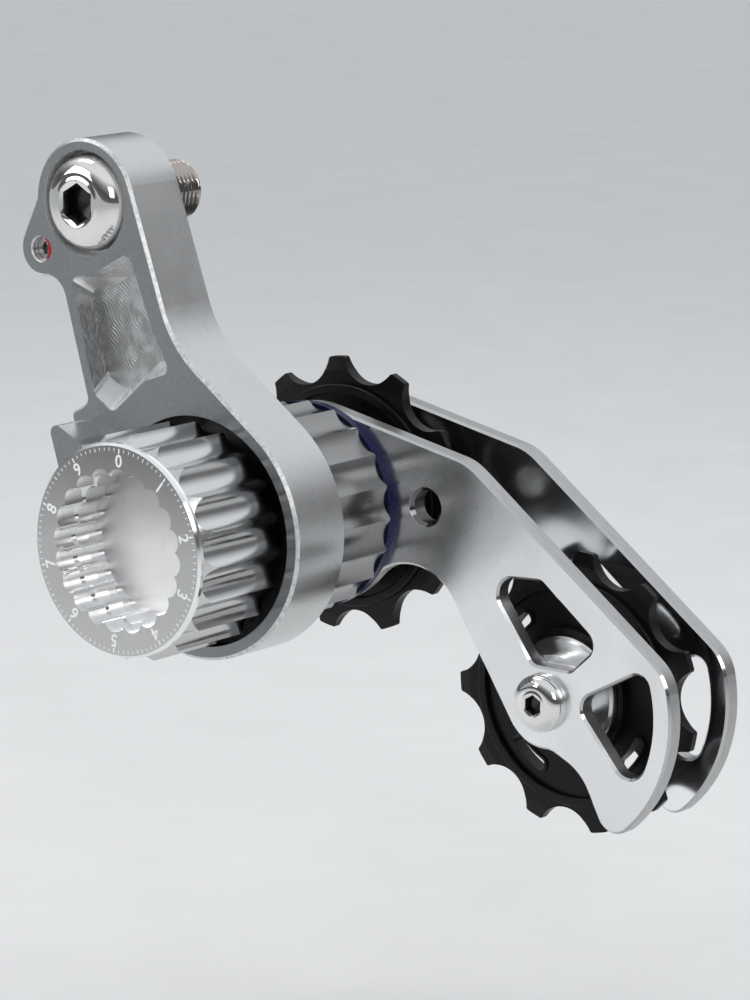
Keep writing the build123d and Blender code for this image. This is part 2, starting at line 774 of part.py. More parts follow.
# Pulleys, their bearings and their caps
hub_front = middle - bearing_width / 2
hub_back = middle + bearing_width / 2
tooth_front = middle - tooth_thickness / 2
tooth_back = middle + tooth_thickness / 2
ball_ring_r = (inner_race_r + outer_race_r) / 2
groove_ball_r = ball_d / 2 + race_clearance


def pulley_windows(centre, phase, depth, width):
    """Sketch of the kidney windows at one depth; their ends are round."""
    with BuildSketch(facing(depth, centre)) as windows:
        for number in range(window_count):
            start = phase + number * 360 / window_count - window_span / 2
            with BuildLine(mode=Mode.PRIVATE):
                middle_line = CenterArc((0, 0), window_mid_r, start, window_span)
            SlotArc(middle_line, width)
    return windows.sketch


for name, centre, tooth_phase in (("guide", pivot, guide_phase), ("tension", tension, tension_phase)):
    with BuildPart() as pulley:
        with BuildSketch(facing(tooth_back, centre)) as tooth_outline:
            Circle(tip_r)
            with PolarLocations(root_r + tooth_seat_r, teeth, start_angle=tooth_phase + 180 / teeth):
                Circle(tooth_seat_r, mode=Mode.SUBTRACT)
            fillet(tooth_outline.vertices(), tooth_corner)
        extrude(amount=tooth_thickness)
        with BuildSketch(turning(centre)):
            for face, inward in ((tooth_front, 1), (tooth_back, -1)):
                with BuildLine():
                    Polyline((tip_r - tooth_bevel_height, face), (tip_r + 1, face),
                             (tip_r + 1, face + inward * tooth_bevel), (tip_r, face + inward * tooth_bevel),
                             close=True)
                make_face()
        revolve(axis=spindle(centre), mode=Mode.SUBTRACT)
        with BuildSketch(turning(centre)):
            with Locations((pulley_hub_r / 2, middle)):
                Rectangle(pulley_hub_r, bearing_width)
            with Locations((rim_outer_r - rim_width / 2, middle)):
                RectangleRounded(rim_width, tooth_thickness + 2 * rim_raise, rim_edge)
        revolve(axis=spindle(centre))
        lips = pulley_windows(centre, window_phase, tooth_back + window_lip_raise,
                              window_width + 2 * window_lip)
        extrude(lips, amount=tooth_thickness + 2 * window_lip_raise)
        windows = pulley_windows(centre, window_phase, hub_back, window_width)
        extrude(windows, amount=bearing_width, mode=Mode.SUBTRACT)
        with BuildSketch(facing(hub_back, centre)):
            Circle(bearing_outer_r + race_clearance / 2)
        extrude(amount=bearing_width, mode=Mode.SUBTRACT)
    write(pulley, f"{name}_pulley")

    for race, inner, outer in (("inner", bearing_bore_r, inner_race_r),
                               ("outer", outer_race_r, bearing_outer_r)):
        with BuildPart() as bearing_race:
            with BuildSketch(turning(centre)):
                with Locations(((inner + outer) / 2, middle)):
                    Rectangle(outer - inner, bearing_width)
                with Locations((ball_ring_r, middle)):
                    Circle(groove_ball_r, mode=Mode.SUBTRACT)
            revolve(axis=spindle(centre))
        write(bearing_race, f"{name}_bearing_{race}")

    with BuildPart() as balls:
        with Locations(facing(middle, centre)):
            with PolarLocations(ball_ring_r, ball_count):
                Sphere(ball_d / 2)
    write(balls, f"{name}_bearing_balls")

    with BuildPart() as shields:
        with BuildSketch(turning(centre)):
            shield_inner = inner_race_r + face_gap
            shield_outer = outer_race_r - race_clearance / 2
            for shield_middle in (hub_front + shield_sunk, hub_back - shield_sunk):
                with Locations(((shield_inner + shield_outer) / 2, shield_middle)):
                    Rectangle(shield_outer - shield_inner, shield_thickness)
        revolve(axis=spindle(centre))
    write(shields, f"{name}_bearing_shields")

    for side, plate_face, inward in (("near", near_back, 1), ("far", far_front, -1)):
        race_face = middle - inward * bearing_width / 2
        disc_back = race_face - inward * face_gap
        disc_front = disc_back - inward * cap_disc
        step_front = disc_front - inward * cap_step
        spigot_end = middle - inward * thread_fit
        bore = cage_screw_d / 2 + screw_room
        spigot = bearing_bore_r - running
        cap = turned(centre, [
            (bore, plate_face), (cap_boss_r, plate_face), (cap_boss_r, step_front),
            (cap_step_r, step_front), (cap_step_r, disc_front), (cap_disc_r, disc_front),
            (cap_disc_r, disc_back), (cap_shoulder_r, disc_back),
            (cap_shoulder_r, race_face), (spigot, race_face), (spigot, spigot_end), (bore, spigot_end),
        ])
        write(cap, f"{name}_cap_{side}")
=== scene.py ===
"""Looks of the chain tensioner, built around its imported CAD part. All places are in metres."""
import json
import math

import bpy
from mathutils import Matrix, Vector


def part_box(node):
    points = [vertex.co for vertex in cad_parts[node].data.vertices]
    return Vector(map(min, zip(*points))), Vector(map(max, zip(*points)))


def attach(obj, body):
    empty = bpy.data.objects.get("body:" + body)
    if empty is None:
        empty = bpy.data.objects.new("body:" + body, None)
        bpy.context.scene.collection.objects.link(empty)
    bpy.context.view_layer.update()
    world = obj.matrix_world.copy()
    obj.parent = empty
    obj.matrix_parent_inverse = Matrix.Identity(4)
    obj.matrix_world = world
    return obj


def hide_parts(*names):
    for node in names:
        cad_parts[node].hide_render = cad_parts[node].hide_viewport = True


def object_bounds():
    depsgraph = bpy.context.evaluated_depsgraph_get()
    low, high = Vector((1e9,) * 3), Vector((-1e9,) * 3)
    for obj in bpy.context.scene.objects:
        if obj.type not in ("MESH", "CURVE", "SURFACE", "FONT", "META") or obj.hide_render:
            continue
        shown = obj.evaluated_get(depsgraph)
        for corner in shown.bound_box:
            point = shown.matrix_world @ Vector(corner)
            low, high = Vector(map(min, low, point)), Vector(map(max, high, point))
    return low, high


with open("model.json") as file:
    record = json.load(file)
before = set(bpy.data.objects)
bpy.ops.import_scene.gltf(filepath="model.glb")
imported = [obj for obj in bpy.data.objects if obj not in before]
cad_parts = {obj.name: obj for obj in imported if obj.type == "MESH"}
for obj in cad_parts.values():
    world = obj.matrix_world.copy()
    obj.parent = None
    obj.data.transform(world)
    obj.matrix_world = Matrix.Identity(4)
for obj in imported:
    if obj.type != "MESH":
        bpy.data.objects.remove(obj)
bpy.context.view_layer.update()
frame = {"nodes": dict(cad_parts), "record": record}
nodes = frame["nodes"]

MM = 0.001
AROUND = 96                          # segments of a turned piece

# Sizes repeated from the CAD part
HANGER_HEAD_HEIGHT = 5.5 * MM
HANGER_HEAD_PROUD = 1.9 * MM
HANGER_THREAD_START = -0.5 * MM
CAGE_HEAD_HEIGHT = 2.75 * MM
CAGE_THREAD_R = 2.45 * MM
CAGE_PLAIN_SHANK = 14.0 * MM
POCKET_DEPTH = 4.3 * MM
ANGLE_SCREW_SUNK = 1.5 * MM
ANGLE_HOLE_R = 2.0 * MM
RING_BORE_R = 18.81 * MM
RECESS_DEPTH = 9.2 * MM
LOCK_HOLE_FROM_PIVOT = (23.4 * MM, 2.2 * MM)
LOCK_HOLE_R = 3.3 * MM


# Places taken from the frame
def axis_of(node):
    """X and Z of the axis that a round node is turned about."""
    low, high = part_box(node)
    return ((low.x + high.x) / 2, (low.z + high.z) / 2)


PIVOT = axis_of("dial_ring")
TENSION = axis_of("tension_cap_near")
HANGER = axis_of("hanger_bolt")
EAR = axis_of("angle_screw")
ARM_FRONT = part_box("hanger_bolt")[0].y + HANGER_HEAD_PROUD
DIAL_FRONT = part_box("dial_ring")[0].y
PIVOT_FLOOR = DIAL_FRONT + RECESS_DEPTH
NEAR_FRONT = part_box("seal_washer")[1].y
FAR_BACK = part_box("far_cage_plate")[1].y
LOCK_HOLE = (PIVOT[0] + LOCK_HOLE_FROM_PIVOT[0], PIVOT[1] + LOCK_HOLE_FROM_PIVOT[1])


# Camera at the photograph's viewing angle
CAMERA_AZIMUTH = math.radians(38.20)
CAMERA_ELEVATION = math.radians(11.31)
CAMERA_PLACE = Vector((468.9, -532.0, 90.9)) * MM
CAMERA_LENS = 156.9
CAMERA_SENSOR = 36.0


def make_camera():
    data = bpy.data.cameras.new("photo_camera")
    data.sensor_fit = "VERTICAL"
    data.sensor_height = CAMERA_SENSOR
    data.lens = CAMERA_LENS
    data.clip_start = 0.01
    data.clip_end = 20.0
    camera = bpy.data.objects.new("photo_camera", data)
    away = Vector((math.sin(CAMERA_AZIMUTH) * math.cos(CAMERA_ELEVATION),
                   -math.cos(CAMERA_AZIMUTH) * math.cos(CAMERA_ELEVATION),
                   math.sin(CAMERA_ELEVATION)))
    right = Vector((0, 0, 1)).cross(away).normalized()
    up = away.cross(right)
    turn = Matrix((right, up, away)).transposed()
    camera.matrix_world = Matrix.Translation(CAMERA_PLACE) @ turn.to_4x4()
    bpy.context.scene.collection.objects.link(camera)
    bpy.context.scene.camera = camera


# Shader building
def grey(level, blue=0.0):
    """A neutral colour, or one that leans towards blue."""
    return (level, level * (1 + blue / 2), level * (1 + blue), 1.0)


class Nodes:
    """Short calls to add nodes to one node tree."""

    def __init__(self, tree):
        self.tree = tree
        self.tree.nodes.clear()

    def add(self, kind, **settings):
        node = self.tree.nodes.new(kind)
        for key, value in settings.items():
            setattr(node, key, value)
        return node

    def link(self, source, target):
        self.tree.links.new(source, target)

    def feed(self, value, target):
        """Set a socket to a constant, or link it when value is a socket."""
        if isinstance(value, bpy.types.NodeSocket):
            self.link(value, target)
        else:
            target.default_value = value

    def maths(self, operation, first, second=0.0):
        node = self.add("ShaderNodeMath", operation=operation)
        self.feed(first, node.inputs[0])
        self.feed(second, node.inputs[1])
        return node.outputs[0]

    def both(self, *masks):
        """The product of several masks."""
        product = masks[0]
        for mask in masks[1:]:
            product = self.maths("MULTIPLY", product, mask)
        return product

    def total(self, value, *shares):
        """A value plus amount times mask for each share, which is (mask, amount)."""
        for mask, amount in shares:
            value = self.maths("ADD", value, self.maths("MULTIPLY", mask, amount))
        return value

    def part(self, vector, axis):
        split = self.add("ShaderNodeSeparateXYZ")
        self.link(vector, split.inputs[0])
        return split.outputs[axis]

    def spread(self, value, low, high, to_low=0.0, to_high=1.0):
        """Map the range low..high of value onto to_low..to_high."""
        node = self.add("ShaderNodeMapRange")
        self.link(value, node.inputs["Value"])
        node.inputs["From Min"].default_value = low
        node.inputs["From Max"].default_value = high
        node.inputs["To Min"].default_value = to_low
        node.inputs["To Max"].default_value = to_high
        return node.outputs["Result"]

    def between(self, value, low, high, soft):
        """A mask that is 1 where value lies between low and high."""
        rise = self.spread(value, low - soft, low + soft)
        fall = self.spread(value, high - soft, high + soft, 1.0, 0.0)
        return self.maths("MULTIPLY", rise, fall)

    def blend(self, factor, first, second):
        """Mix two colours."""
        node = self.add("ShaderNodeMix", data_type="RGBA")
        self.feed(factor, node.inputs["Factor"])
        self.feed(first, node.inputs[6])
        self.feed(second, node.inputs[7])
        return node.outputs[2]

    def layers(self, colour, *covers):
        """A colour under covers that are (mask, colour), the last one on top."""
        for mask, cover in covers:
            colour = self.blend(mask, colour, cover)
        return colour

    def ramp(self, value, stops, blue=0.0):
        """Ramp of greys with (place, level) stops."""
        node = self.add("ShaderNodeValToRGB")
        marks = node.color_ramp.elements
        marks.remove(marks[1])
        marks[0].position = stops[0][0]
        marks[0].color = grey(stops[0][1], blue)
        for place, level in stops[1:]:
            marks.new(place).color = grey(level, blue)
        self.link(value, node.inputs["Fac"])
        return node.outputs["Color"]


class Shader(Nodes):
    """One material with a principled surface."""

    def __init__(self, name):
        self.material = bpy.data.materials.new(name)
        self.material.use_nodes = True
        super().__init__(self.material.node_tree)
        output = self.add("ShaderNodeOutputMaterial")
        self.surface = self.add("ShaderNodeBsdfPrincipled")
        self.link(self.surface.outputs["BSDF"], output.inputs["Surface"])
        self.place = self.add("ShaderNodeTexCoord").outputs["Object"]
        self.depth = self.along("Y")
        self.normal = self.add("ShaderNodeNewGeometry").outputs["Normal"]
        self.across = self.maths("ABSOLUTE", self.facing("Y"))
        self.bump_in = None

    def along(self, axis):
        """Position along one axis of the object."""
        return self.part(self.place, axis)

    def facing(self, axis):
        """How far the surface faces along one axis, -1 to 1."""
        return self.part(self.normal, axis)

    def moved(self, scale=(1, 1, 1), location=(0, 0, 0)):
        """Object coordinates, first shifted by location and then scaled."""
        shift = self.add("ShaderNodeVectorMath", operation="SUBTRACT")
        self.link(self.place, shift.inputs[0])
        shift.inputs[1].default_value = location
        stretch = self.add("ShaderNodeVectorMath", operation="MULTIPLY")
        self.link(shift.outputs[0], stretch.inputs[0])
        stretch.inputs[1].default_value = scale
        return stretch.outputs[0]

    def radius(self, centre):
        """Distance from the axis along Y through centre."""
        spot = self.moved(location=(centre[0], 0, centre[1]), scale=(1, 0, 1))
        length = self.add("ShaderNodeVectorMath", operation="LENGTH")
        self.link(spot, length.inputs[0])
        return length.outputs["Value"]

    def within(self, centre, radius, soft):
        """A mask that is 1 inside a radius about centre."""
        return self.spread(self.radius(centre), radius, radius + soft, 1.0, 0.0)

    def before(self, depth, soft):
        """A mask that is 1 outboard of a depth."""
        return self.spread(self.depth, depth, depth + soft, 1.0, 0.0)

    def behind(self, depth, soft):
        """A mask that grows to 1 inboard of a depth."""
        return self.spread(self.depth, depth, depth + soft)

    def up_knob(self, reach, stops):
        """Painted light and shade: greys by height, from reach below the pivot's axis to reach
        above it.
        """
        height = self.maths("SUBTRACT", self.along("Z"), PIVOT[1])
        return self.ramp(self.spread(height, -reach, reach), stops)

    def noise(self, scale, detail=4.0, rough=0.55):
        """Noise with features about 1/scale metres wide; scale may differ by axis."""
        axes = scale if isinstance(scale, tuple) else (scale, scale, scale)
        node = self.add("ShaderNodeTexNoise")
        self.link(self.moved(axes), node.inputs["Vector"])
        node.inputs["Scale"].default_value = 1.0
        node.inputs["Detail"].default_value = detail
        node.inputs["Roughness"].default_value = rough
        return node.outputs["Fac"]

    def clouded(self, rough, cloud, low, high):
        """A roughness that also varies by low..high with a cloud."""
        return self.maths("ADD", rough, self.spread(cloud, 0.35, 0.75, low, high))

    def turned_grain(self, centre, pitch):
        """Fine rings about the Y axis through centre."""
        rings = self.add("ShaderNodeCombineXYZ")
        self.link(self.maths("DIVIDE", self.radius(centre), pitch), rings.inputs[0])
        self.link(self.maths("DIVIDE", self.depth, pitch), rings.inputs[1])
        node = self.add("ShaderNodeTexNoise")
        self.link(rings.outputs[0], node.inputs["Vector"])
        node.inputs["Scale"].default_value = 1.0
        node.inputs["Detail"].default_value = 2.0
        return node.outputs["Fac"]

    def swirl(self, centre, period, wander):
        """Arcs of a milling cutter about centre, with uneven spacing."""
        wave = self.add("ShaderNodeTexWave", wave_type="RINGS", rings_direction="Y")
        self.link(self.moved(location=(centre[0], 0, centre[1])), wave.inputs["Vector"])
        wave.inputs["Scale"].default_value = math.pi / 10 / period
        wave.inputs["Distortion"].default_value = wander
        wave.inputs["Detail"].default_value = 2.0
        wave.inputs["Detail Scale"].default_value = 0.35
        return wave.outputs["Fac"]

    def raise_by(self, height, distance, strength=1.0):
        """Add a layer of bump, distance in metres."""
        node = self.add("ShaderNodeBump")
        node.inputs["Strength"].default_value = strength
        node.inputs["Distance"].default_value = distance
        self.link(height, node.inputs["Height"])
        if self.bump_in is not None:
            self.link(self.bump_in, node.inputs["Normal"])
        self.bump_in = node.outputs["Normal"]
        self.link(self.bump_in, self.surface.inputs["Normal"])

    def finish(self, **sockets):
        """Set the surface's sockets: each is a constant or a socket."""
        for key, value in sockets.items():
            self.feed(value, self.surface.inputs[key.replace("_", " ")])
        return self.material


# Bracket
POCKET_X = (-4.0 * MM, 10.0 * MM)
POCKET_Z = (-36.0 * MM, -12.0 * MM)
STREAKS_TOP = -17.0 * MM             # height at which the streaks on the left wall fade out
CUTTER_CENTRE = (-24.0 * MM, -38.0 * MM)
CUTTER_STEP = 0.50 * MM
CUTTER_WANDER = 16.0
COUNTERBORE_R = (8.4 * MM, 8.85 * MM)
GAP_DEPTH = (ARM_FRONT + 0.6 * MM, -0.6 * MM)


def pocket_masks(shader, front, aside):
    """Masks of the milled pocket: its floor, its left wall and its sloping ends."""
    bottom = ARM_FRONT + POCKET_DEPTH
    floor = shader.both(front, shader.between(shader.depth, bottom - 0.2 * MM,
                                              bottom + 0.2 * MM, 0.1 * MM))
    walls = shader.both(aside, shader.between(shader.along("X"), *POCKET_X, 0.3 * MM),
                        shader.between(shader.along("Z"), *POCKET_Z, 0.3 * MM),
                        shader.between(shader.depth, ARM_FRONT + 0.2 * MM,
                                       bottom + 0.1 * MM, 0.1 * MM))
    slope = shader.maths("ABSOLUTE", shader.facing("Z"))
    below = shader.spread(shader.along("Z"), STREAKS_TOP, STREAKS_TOP + 1.0 * MM, 1.0, 0.0)
    left_wall = shader.both(walls, shader.spread(shader.facing("X"), 0.15, 0.3), below,
                            shader.spread(slope, 0.25, 0.4, 1.0, 0.0))
    ramps = shader.both(walls, shader.spread(slope, 0.25, 0.4))
    return floor, left_wall, ramps


def pocket_marks(shader, floor, left_wall):
    """Cutter marks in the pocket: uneven arcs on its floor and streaks on its left wall."""
    arcs = shader.both(shader.swirl(CUTTER_CENTRE, CUTTER_STEP, CUTTER_WANDER),
                       shader.spread(shader.noise(420, detail=2.0), 0.25, 0.55))
    streaks = shader.spread(shader.noise((2800, 2400, 60), detail=1.0), 0.4, 0.6)
    return shader.maths("ADD", shader.both(arcs, floor), shader.both(streaks, left_wall))


def machined_aluminium():
    """Bracket: satin front, milled sides, painted highlights on the edges, polished barrel, cutter
    marks in the pocket, painted light on the counterbore and the pocket's sloping ends, and
    painted shade in the gap round the knob."""
    shader = Shader("machined_aluminium_look")
    front = shader.spread(shader.across, 0.96, 0.99)
    aside = shader.maths("SUBTRACT", 1.0, front)
    edge = shader.between(shader.across, 0.35, 0.93, 0.05)
    barrel = shader.both(aside, shader.behind(0.0, 0.3 * MM))
    floor, left_wall, ramps = pocket_masks(shader, front, aside)
    marks = pocket_marks(shader, floor, left_wall)
    # painted light: the counterbore's wall and the pocket's sloping ends are painted near white
    counterbore = shader.both(aside, shader.between(shader.radius(HANGER), *COUNTERBORE_R,
                                                    0.05 * MM))
    # painted shade: the gap inside the ring round the knob is painted nearly black
    gap = shader.both(shader.within(PIVOT, RING_BORE_R + 0.05 * MM, 0.05 * MM),
                      shader.between(shader.depth, *GAP_DEPTH, 0.3 * MM))
    blasted = shader.noise(1500, detail=2.0)
    cuts = shader.noise((350, 2600, 350), detail=3.0)

    face = shader.blend(shader.spread(blasted, 0.2, 0.8), grey(0.23, 0.08), grey(0.28, 0.08))
    side = shader.blend(shader.spread(cuts, 0.2, 0.8), grey(0.56, 0.01), grey(0.61, 0.01))
    # painted highlight: the chamfered edges are lighter than the sides
    glint = shader.blend(shader.spread(blasted, 0.3, 0.7), grey(0.50), grey(0.78))
    tone = shader.layers(side, (front, face), (edge, glint), (barrel, grey(0.27)),
                         (floor, grey(0.50, 0.03)),
                         (shader.maths("MULTIPLY", marks, 0.55), grey(0.24)),
                         (shader.maths("MAXIMUM", counterbore, ramps), grey(0.98)),
                         (gap, grey(0.02)))
    rough = shader.total(shader.spread(front, 0.0, 1.0, 0.27, 0.40),
                         (counterbore, 0.25), (edge, 0.15), (barrel, -0.06))
    rough = shader.clouded(rough, shader.noise(60, detail=3.0), -0.03, 0.05)
    shader.raise_by(blasted, 0.004 * MM, 0.4)
    shader.raise_by(cuts, 0.004 * MM, 0.3)
    shader.raise_by(marks, 0.07 * MM, 0.8)
    return shader.finish(Base_Color=tone, Metallic=1.0, Roughness=rough)


# Knob and dial, with (share of the height, level) stops of their painted light and shade, greys by
# height from bottom to top
RECESS_R = 13.3 * MM                 # just outside the recess's lobes
DISH_REACH = 10.0 * MM
DISH_PAINTED_LIGHT = ((0.0, 1.0), (0.45, 0.88), (0.75, 0.52), (1.0, 0.34))
DIAL_REACH = 17.0 * MM
DIAL_PAINTED_LIGHT = ((0.0, 0.58), (0.5, 0.52), (0.85, 0.30), (1.0, 0.23))
DIAL_RINGS = 0.12 * MM


def knob_aluminium():
    """Knob: satin flutes and a polished recess, whose floor has painted light that is lighter
    lower down.
    """
    shader = Shader("polished_aluminium_look")
    front = shader.spread(shader.across, 0.93, 0.985)
    inside = shader.both(shader.within(PIVOT, RECESS_R, 0.1 * MM),
                         shader.before(PIVOT_FLOOR + 1.5 * MM, 0.2 * MM))
    floor = shader.both(inside, shader.behind(PIVOT_FLOOR - 0.15 * MM, 0.15 * MM))
    brushed = shader.noise((500, 500, 1900), detail=3.0)
    tone = shader.blend(inside, grey(0.60), grey(0.84))
    # painted light: the dish's floor is lighter lower down and darker towards the top
    tone = shader.blend(floor, tone, shader.up_knob(DISH_REACH, DISH_PAINTED_LIGHT))
    rough = shader.layers(grey(0.17), (inside, grey(0.07)), (floor, grey(0.34)))
    rough = shader.clouded(shader.part(rough, "X"), shader.noise(90, detail=3.0), -0.02, 0.05)
    off_floor = shader.spread(floor, 0.0, 1.0, 0.08, 0.0)
    rough = shader.maths("ADD", rough, shader.both(front, off_floor))
    shader.raise_by(shader.both(brushed, floor), 0.003 * MM, 0.4)
    return shader.finish(Base_Color=tone, Metallic=1.0, Roughness=rough)


def dial_aluminium():
    """Dial: satin face with turned rings and painted light that is lighter towards the bottom,
    bright bevels.
    """
    shader = Shader("satin_dial_look")
    front = shader.spread(shader.across, 0.93, 0.985)
    rings = shader.turned_grain(PIVOT, DIAL_RINGS)
    # painted light: the dial's face is lighter lower down and darker towards the top
    face = shader.blend(shader.spread(rings, 0.2, 0.8, 0.0, 0.12),
                        shader.up_knob(DIAL_REACH, DIAL_PAINTED_LIGHT), grey(0.2))
    tone = shader.blend(front, grey(0.92), face)
    rough = shader.clouded(shader.spread(front, 0.0, 1.0, 0.12, 0.34),
                           shader.noise(90, detail=3.0), -0.02, 0.05)
    shader.raise_by(rings, 0.004 * MM, 0.4)
    return shader.finish(Base_Color=tone, Metallic=1.0, Roughness=rough)


# Cage and its screws
CAP_RINGS = 0.06 * MM
CAP_FACE = 0.76                      # mean grey of the caps' faces
SHANK_SUNK = 8.0 * MM                # below the top of a screw's head, where its shank is dull


def cap_aluminium(name, centre):
    """Pulley caps: polished walls, fine rings on the faces across their axis."""
    shader = Shader(name)
    front = shader.spread(shader.across, 0.93, 0.985)
    rings = shader.turned_grain(centre, CAP_RINGS)
    lined = shader.blend(shader.spread(rings, 0.3, 0.7),
                         grey(CAP_FACE * 0.88, 0.02), grey(CAP_FACE * 1.08, 0.02))
    tone = shader.blend(front, grey(0.84), lined)
    rough = shader.clouded(shader.spread(front, 0.0, 1.0, 0.16, 0.24),
                           shader.noise(90, detail=3.0), -0.02, 0.05)
    shader.raise_by(rings, 0.006 * MM, 0.4)
    return shader.finish(Base_Color=tone, Metallic=1.0, Roughness=rough)


def plate_aluminium():
    """Cage plates: satin outer faces, smoother and lighter faces inside, milled edges. All are
    slightly wavy, and the wall of the near plate's round hole has painted shade."""
    shader = Shader("plate_aluminium_look")
    outer = shader.maths("MAXIMUM", shader.before(NEAR_FRONT + 0.05 * MM, 0.45 * MM),
                         shader.behind(FAR_BACK - 0.5 * MM, 0.45 * MM))
    outer = shader.both(outer, shader.spread(shader.across, 0.96, 0.99))
    wall = shader.spread(shader.across, 0.1, 0.3, 1.0, 0.0)
    bevel = shader.between(shader.across, 0.45, 0.93, 0.05)
    # painted shade: the wall of the near plate's round hole is painted dark
    lock_hole_shade = shader.both(shader.within(LOCK_HOLE, LOCK_HOLE_R - 0.05 * MM, 0.05 * MM),
                            shader.before(NEAR_FRONT + 5.0 * MM, 1.0 * MM))
    wave = shader.noise(42, detail=1.5)
    cloud = shader.noise(75, detail=3.0)
    cuts = shader.noise((350, 2600, 350), detail=3.0)

    patches = shader.spread(cloud, 0.3, 0.72)
    face = shader.blend(patches, grey(0.74, 0.02), grey(0.88, 0.02))
    inner = shader.blend(patches, grey(0.84, 0.03), grey(0.94, 0.03))
    milled = shader.blend(shader.spread(cuts, 0.3, 0.7), grey(0.42), grey(0.50))
    tone = shader.layers(inner, (outer, face), (wall, milled), (bevel, grey(0.52)),
                         (lock_hole_shade, grey(0.14)))
    rough = shader.layers(grey(0.14), (outer, grey(0.26)), (wall, grey(0.36)))
    rough = shader.clouded(shader.part(rough, "X"), cloud, -0.03, 0.06)
    shader.raise_by(wave, 0.9 * MM, 0.6)
    shader.raise_by(shader.both(cuts, wall), 0.01 * MM, 0.5)
    return shader.finish(Base_Color=tone, Metallic=1.0, Roughness=rough)


def polished_steel(name, centre, socket_r, top, out):
    """Chromed screw with painted shade in its hexagon socket and a dull shank. The top of its head
    is at depth top, and out is -1 when the head points outboard."""
    shader = Shader(name)
    cloud = shader.noise(160)
    scratch = shader.noise((300, 2600, 900), detail=2.0)
    sunk = shader.maths("MULTIPLY", shader.maths("SUBTRACT", top, shader.depth), out)
    # painted shade: the hexagon socket is painted nearly black
    socket = shader.both(shader.within(centre, socket_r, socket_r * 0.02),
                         shader.spread(sunk, socket_r * 0.1, socket_r * 0.5))
    shank = shader.spread(sunk, SHANK_SUNK, SHANK_SUNK + 1.0 * MM)
    chrome = shader.blend(shader.spread(cloud, 0.3, 0.7), grey(0.74), (0.82, 0.81, 0.79, 1.0))
    tone = shader.layers(chrome, (socket, (0.06, 0.055, 0.05, 1.0)),
                         (shank, (0.46, 0.42, 0.39, 1.0)))
    rough = shader.clouded(shader.spread(scratch, 0.62, 0.75, 0.0, 0.06), cloud, 0.05, 0.10)
    rough = shader.total(rough, (socket, 0.2))
    return shader.finish(Base_Color=tone, Metallic=1.0, Roughness=rough)


# Plain metals, plastics and rubber
def drawn_metal(name, colour, dark, roughness):
    """Plain metal with a fine grain that runs along Y."""
    shader = Shader(name)
    lines = shader.noise((2500, 900, 2500), detail=3.0, rough=0.6)
    tone = shader.blend(shader.spread(lines, 0.3, 0.7), dark, colour)
    rough = shader.clouded(shader.spread(lines, 0.3, 0.7, roughness - 0.03, roughness + 0.03),
                           shader.noise(90, detail=3.0), -0.03, 0.06)
    shader.raise_by(lines, 0.01 * MM, 0.5)
    return shader.finish(Base_Color=tone, Metallic=1.0, Roughness=rough)


def plastic(name, colour, patches, roughness, grain, distance, specular=0.5):
    """Moulded plastic or rubber with a fine grain and faint patches of a second colour."""
    shader = Shader(name)
    fine = shader.noise(grain, rough=0.6)
    cloud = shader.noise(120, detail=3.0)
    tone = shader.blend(shader.spread(cloud, 0.35, 0.7), colour, patches)
    rough = shader.maths("ADD", shader.spread(fine, 0.3, 0.7, roughness - 0.05, roughness + 0.05),
                         shader.spread(cloud, 0.3, 0.7, -0.04, 0.04))
    shader.raise_by(fine, distance, 0.6)
    return shader.finish(Base_Color=tone, Roughness=rough, Specular_IOR_Level=specular)


MATERIALS = {
    "machined_aluminium": machined_aluminium(),
    "polished_aluminium": knob_aluminium(),
    "satin_dial": dial_aluminium(),
    "plate_aluminium": plate_aluminium(),
    "cap_aluminium": cap_aluminium("cap_aluminium_look", PIVOT),
    "polished_steel": drawn_metal("polished_steel_look", grey(0.82), grey(0.76), 0.08),
    "dark_steel": drawn_metal("dark_steel_look", grey(0.52), grey(0.40), 0.22),
    "spring_steel": drawn_metal("spring_steel_look", grey(0.45), grey(0.36), 0.3),
    "axle_steel": drawn_metal("axle_steel_look", grey(0.62), grey(0.54), 0.25),
    "bearing_steel": drawn_metal("bearing_steel_look", grey(0.72), grey(0.66), 0.15),
    "bronze_bush": drawn_metal("bronze_bush_look", (0.62, 0.45, 0.26, 1),
                               (0.5, 0.36, 0.2, 1), 0.35),
    "polymer": plastic("polymer_look", (0.80, 0.79, 0.74, 1), (0.74, 0.73, 0.68, 1),
                       0.5, 2600, 0.01 * MM),
    "navy_seal": plastic("navy_seal_look", (0.003, 0.004, 0.040, 1), (0.006, 0.007, 0.060, 1),
                         0.28, 1500, 0.006 * MM, 0.2),
    "shield_rubber": plastic("shield_rubber_look", (0.02, 0.02, 0.02, 1), (0.03, 0.03, 0.03, 1),
                             0.6, 3000, 0.01 * MM),
    "pulley_black": plastic("pulley_black_look", (0.003, 0.003, 0.004, 1),
                            (0.005, 0.005, 0.006, 1), 0.36, 1500, 0.008 * MM, 0.22),
}
TENSION_CAP_LOOK = cap_aluminium("tension_cap_look", TENSION)
NODE_LOOKS = {"tension_cap_near": TENSION_CAP_LOOK, "tension_cap_far": TENSION_CAP_LOOK}


def dress_cad_nodes():
    """Give every CAD node the look of its material slot, or its own look."""
    for entry in frame["record"]["subparts"]:
        node = nodes[entry["node"]]
        look = NODE_LOOKS.get(entry["node"], MATERIALS[entry["material_slot"]])
        if not node.material_slots:
            node.data.materials.append(look)
        for slot in node.material_slots:
            slot.material = look


